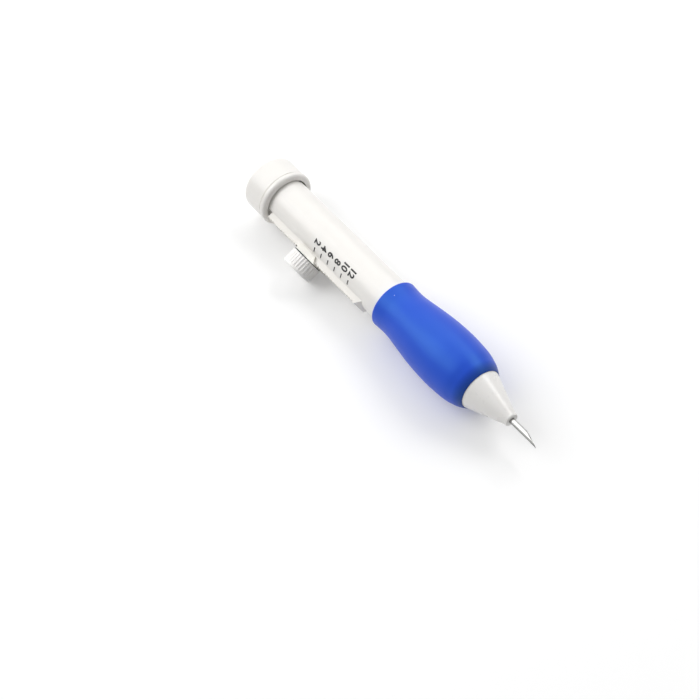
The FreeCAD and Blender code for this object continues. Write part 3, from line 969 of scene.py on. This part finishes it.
@dataclass
class ScaleFigures:
    """Printed figures of the depth scale, wrapped on the barrel beside their marks.

    Attributes:
        offset: How far the figures' middle sits from their mark, towards the needle.
        rail_side_angle: Degrees round from the knob to the figures' near edge.
        height: Figure height, along the pen.
        digit_width: Width of a nought, round the barrel.
        stroke_gain: What is added to the font's strokes, in units of the font.
        thickness: How far the ink stands above the barrel's skin.
        underside: Share of that thickness at which the ink's underside stands.
        print_depth: Half the thickness of the flat figures, in units of the font.
        longest_edge: Edges longer than this are cut before the figures are bent.
    """

    axes: PenAxes
    values: tuple[int, ...] = (2, 4, 6, 8, 10, 12)
    offset: float = 0.13 * MM
    barrel_radius: float = 6.7 * MM
    rail_side_angle: float = 60.5
    height: float = 2.5 * MM
    digit_width: float = 1.56 * MM
    digit_spacing: float = 0.9
    stroke_gain: float = 0.03
    thickness: float = 0.03 * MM
    underside: float = 0.1
    print_depth: float = 0.01
    curve_steps: int = 6
    longest_edge: float = 0.12
    edge_cuts: int = 2
    weld: float = 0.001 * MM

    def flat_figure(self, text: str) -> bpy.types.Mesh:
        """Makes flat figures whose right edge is at 0 and whose middle height is at 0.

        Args:
            text: Digits to print.

        Returns:
            A thin closed mesh, in units of the font.
        """
        curve = bpy.data.curves.new("figure", "FONT")
        curve.body = text
        curve.size = 1.0
        curve.space_character = self.digit_spacing
        curve.extrude = self.print_depth
        curve.offset = self.stroke_gain
        curve.resolution_u = self.curve_steps
        carrier = bpy.data.objects.new("figure", curve)
        bpy.context.scene.collection.objects.link(carrier)
        bpy.context.view_layer.update()
        graph = bpy.context.evaluated_depsgraph_get()
        mesh = bpy.data.meshes.new_from_object(carrier.evaluated_get(graph), depsgraph=graph)
        bpy.data.objects.remove(carrier)
        return mesh

    def spans(self, mesh: bpy.types.Mesh) -> tuple[float, float, float, float]:
        """Measures a flat mesh.

        Args:
            mesh: Flat figures.

        Returns:
            Its lowest and highest X, and its lowest and highest Y.
        """
        across = [vertex.co.x for vertex in mesh.vertices]
        up = [vertex.co.y for vertex in mesh.vertices]
        return min(across), max(across), min(up), max(up)

    def wrap(self, mesh: bpy.types.Mesh, place: float, across: float, up: float) -> None:
        """Scales flat figures to size and bends them on to the barrel.

        Args:
            mesh: Flat figures.
            place: Mark's place along the pen.
            across: Metres of barrel for each font unit of width.
            up: Metres of pen for each font unit of height.
        """
        _, right, low, high = self.spans(mesh)
        builder = bmesh.new()
        builder.from_mesh(mesh)
        bmesh.ops.triangulate(builder, faces=builder.faces)
        long_edges = [edge for edge in builder.edges if edge.calc_length() > self.longest_edge]
        bmesh.ops.subdivide_edges(builder, edges=long_edges, cuts=self.edge_cuts)
        bmesh.ops.triangulate(builder, faces=builder.faces)
        for vertex in builder.verts:
            width = (right - vertex.co.x) * across
            angle = math.radians(self.rail_side_angle) + width / self.barrel_radius
            share = 1.0 if vertex.co.z > 0 else self.underside
            radius = self.barrel_radius + self.thickness * share
            along = place + (vertex.co.y - (low + high) / 2) * up
            vertex.co = Vector((along, -radius * math.cos(angle), radius * math.sin(angle)))
        bmesh.ops.remove_doubles(builder, verts=builder.verts, dist=self.weld)
        bmesh.ops.recalc_face_normals(builder, faces=builder.faces)
        builder.to_mesh(mesh)
        builder.free()
        mesh.transform(self.axes.roll())

    def build(self, material: bpy.types.Material) -> list[bpy.types.Object]:
        """Builds one printed figure for each mark.

        Args:
            material: Ink.

        Returns:
            The pieces.
        """
        left, right, low, high = self.spans(self.flat_figure("0"))
        across = self.digit_width / (right - left)
        up = self.height / (high - low)
        pieces = []
        for value in self.values:
            mesh = self.flat_figure(str(value))
            mark_low, mark_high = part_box(f"scale_mark_{value:02d}")
            self.wrap(mesh, (mark_low.x + mark_high.x) / 2 + self.offset, across, up)
            piece = settle(f"scale_figure_{value:02d}", mesh, material)
            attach(piece, Body.BARREL.value)
            pieces.append(piece)
            LOG.info("%s: %d faces", piece.name, len(mesh.polygons))
        return pieces


# ---------------------------------------------------------------------------
# Stage, light and camera
# ---------------------------------------------------------------------------


@dataclass
class Stage:
    """Plain pale floor that looks like white paper and keeps the pen's shadow.

    Attributes:
        level: Height of the floor.
        camera_lift: White that is added near the pen, in what the camera and gloss see.
        shaded_reach: Distance from the pen up to which no more white is added.
        white_reach: Distance from which the floor looks fully white.
    """

    level: float
    half_size: float = 3.0
    colour: Colour = (0.86, 0.86, 0.86)
    fibre_scale: float = 40.0
    fibre_shade: float = 0.99
    roughness: float = 0.9
    gloss: float = 0.1
    camera_lift: float = 0.185
    shaded_reach: float = 0.14
    white_reach: float = 0.6

    def floor_material(self) -> bpy.types.Material:
        """Builds the paper.

        Returns:
            The material.
        """
        material, board, shader, place = new_material("paper_floor")
        fibre = board.noise(place, self.fibre_scale)
        board.join(board.blend(fibre, self.colour, shaded(self.colour, self.fibre_shade)),
                   shader.inputs["Base Color"])
        set_inputs(shader, {"Roughness": self.roughness, "Specular IOR Level": self.gloss,
                            "Emission Color": (*WHITE, 1.0)})
        path = board.add("ShaderNodeLightPath")
        seen = board.combine("MAXIMUM", path.outputs["Is Camera Ray"],
                             path.outputs["Is Glossy Ray"])
        away = board.add("ShaderNodeVectorMath", operation="DISTANCE")
        away.inputs[1].default_value = PEN_MIDDLE
        board.join(place, away.inputs[0])
        whiter = board.spread(away.outputs["Value"], (self.shaded_reach, self.white_reach),
                              (self.camera_lift, 1.0), "SMOOTHSTEP")
        board.join(board.combine("MULTIPLY", seen, whiter), shader.inputs["Emission Strength"])
        return material

    def build(self) -> bpy.types.Object:
        """Builds the floor.

        Returns:
            The floor.
        """
        half = self.half_size
        mesh = bpy.data.meshes.new("floor")
        corners = [(x * half, y * half, self.level)
                   for x, y in ((-1, -1), (1, -1), (1, 1), (-1, 1))]
        mesh.from_pydata(corners, [], [(0, 1, 2, 3)])
        mesh.materials.append(self.floor_material())
        floor = bpy.data.objects.new("floor", mesh)
        bpy.context.scene.collection.objects.link(floor)
        floor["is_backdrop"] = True
        return floor


@dataclass
class SoftBox:
    """One large area lamp aimed at the pen.

    Attributes:
        bearing: Degrees from +X towards +Y.
        elevation: Degrees above the level.
        turn: Degrees that the lamp is turned about its own axis.
    """

    name: str
    bearing: float
    elevation: float
    distance: float
    width: float
    height: float
    power: float
    turn: float = 0.0

    def build(self, aim: Vector) -> bpy.types.Object:
        """Builds the lamp.

        Args:
            aim: Point that it faces.

        Returns:
            The lamp.
        """
        lamp = bpy.data.lights.new(self.name, "AREA")
        lamp.shape = "RECTANGLE"
        lamp.size = self.width
        lamp.size_y = self.height
        lamp.energy = self.power
        holder = bpy.data.objects.new(self.name, lamp)
        bpy.context.scene.collection.objects.link(holder)
        holder.matrix_world = stand_off(aim, self.bearing, self.elevation, self.distance, self.turn)
        return holder


def stand_off(aim: Vector, bearing: float, elevation: float, distance: float,
              turn: float) -> Matrix:
    """Stands something off from a point that it faces.

    Args:
        aim: Point that it faces.
        bearing: Degrees from +X towards +Y.
        elevation: Degrees above the level.
        distance: Metres from the point.
        turn: Degrees that it is turned about its own axis.

    Returns:
        Its matrix in the frame.
    """
    round_z, rise = math.radians(bearing), math.radians(elevation)
    towards = Vector((math.cos(round_z) * math.cos(rise), math.sin(round_z) * math.cos(rise),
                      math.sin(rise)))
    level = towards.to_track_quat("Z", "Y").to_matrix().to_4x4()
    turned = level @ Matrix.Rotation(math.radians(turn), 4, "Z")
    return Matrix.Translation(aim + towards * distance) @ turned


@dataclass
class Studio:
    """Soft studio light: a surround that dims towards the needle's end, and three large lamps.

    Attributes:
        near_wall: Strength of the surround behind the cap.
        far_wall: Its strength before the needle.
        lamps: Lamps that face the pen's middle.
    """

    near_wall: float = 0.64
    far_wall: float = 0.07
    lamps: tuple[SoftBox, ...] = (
        SoftBox("key_softbox", 150.4, 53.6, 0.9, 1.35, 0.38, 3.1, turn=35.2),
        SoftBox("side_softbox", 222.0, 43.0, 1.2, 0.8, 0.8, 5.8),
        SoftBox("back_softbox", 86.0, 47.0, 1.0, 0.45, 0.45, 3.0),
    )

    def surround_world(self) -> bpy.types.World:
        """Builds the surround, which lights as above and looks plain white.

        Returns:
            The world.
        """
        world = bpy.data.worlds.new("studio_surround")
        world.use_nodes = True
        world.node_tree.nodes.clear()
        board = NodeBoard(world.node_tree)
        along = board.add("ShaderNodeSeparateXYZ")
        board.join(board.add("ShaderNodeTexCoord").outputs["Generated"], along.inputs["Vector"])
        level = board.spread(along.outputs["X"], (-1.0, 1.0), (self.near_wall, self.far_wall))
        lit = board.add("ShaderNodeBackground")
        seen = board.add("ShaderNodeBackground")
        for background in (lit, seen):
            background.inputs["Color"].default_value = (*WHITE, 1.0)
        board.join(level, lit.inputs["Strength"])
        path = board.add("ShaderNodeLightPath")
        clear = board.combine("MAXIMUM", path.outputs["Is Camera Ray"],
                              path.outputs["Is Transmission Ray"])
        shown = board.combine("MAXIMUM", clear, path.outputs["Is Glossy Ray"])
        choose = board.add("ShaderNodeMixShader")
        board.join(shown, choose.inputs["Fac"])
        board.join(lit.outputs["Background"], choose.inputs[1])
        board.join(seen.outputs["Background"], choose.inputs[2])
        output = board.add("ShaderNodeOutputWorld")
        board.join(choose.outputs["Shader"], output.inputs["Surface"])
        return world

    def build(self) -> None:
        """Sets the world and the lamps."""
        bpy.context.scene.world = self.surround_world()
        for lamp in self.lamps:
            lamp.build(Vector(PEN_MIDDLE))
        bpy.context.scene.view_settings.view_transform = "Standard"


@dataclass
class PenCamera:
    """Long-lens camera above the needle's side, rolled so that the pen runs down to the right."""

    target: Point = (65.64 * MM, -18.72 * MM, 0.0)
    distance: float = 548.8 * MM
    bearing: float = -26.38
    elevation: float = 54.89
    roll: float = -13.19
    lens: float = 100.92
    sensor_width: float = 36.0
    clip_start: float = 0.01
    clip_end: float = 20.0

    def build(self) -> bpy.types.Object:
        """Builds the camera and makes it the scene's own.

        Returns:
            The camera.
        """
        data = bpy.data.cameras.new("pen_camera")
        data.lens = self.lens
        data.sensor_width = self.sensor_width
        data.clip_start = self.clip_start
        data.clip_end = self.clip_end
        camera = bpy.data.objects.new("pen_camera", data)
        bpy.context.scene.collection.objects.link(camera)
        camera.matrix_world = stand_off(Vector(self.target), self.bearing, self.elevation,
                                        self.distance, self.roll)
        bpy.context.scene.camera = camera
        return camera


def main() -> None:
    """Builds the pen's looks on its frame, and the stage round it."""
    logging.basicConfig(level=logging.INFO, format="%(name)s: %(message)s")
    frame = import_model()
    frame_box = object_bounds()
    axes = PenAxes()
    finishes = Finishes.build(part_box("grip_sleeve")[1][0])
    PlainPieces(finishes).build(frame["nodes"])
    grip_low, grip_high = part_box("grip_sleeve")
    GripSleeve(start=grip_low.x, end=grip_high.x).build(finishes.grip)
    screw_low, screw_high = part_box("thumb_screw")
    foot, top = axes.reach(frame["nodes"]["thumb_knob"])
    FlutedKnob(axes, (screw_low.x + screw_high.x) / 2, foot, top).build(finishes.knob)
    ScaleFigures(axes).build(finishes.ink)
    Stage(level=frame_box[0][2]).build()
    Studio().build()
    PenCamera().build()


if __name__ == "__main__":
    main()
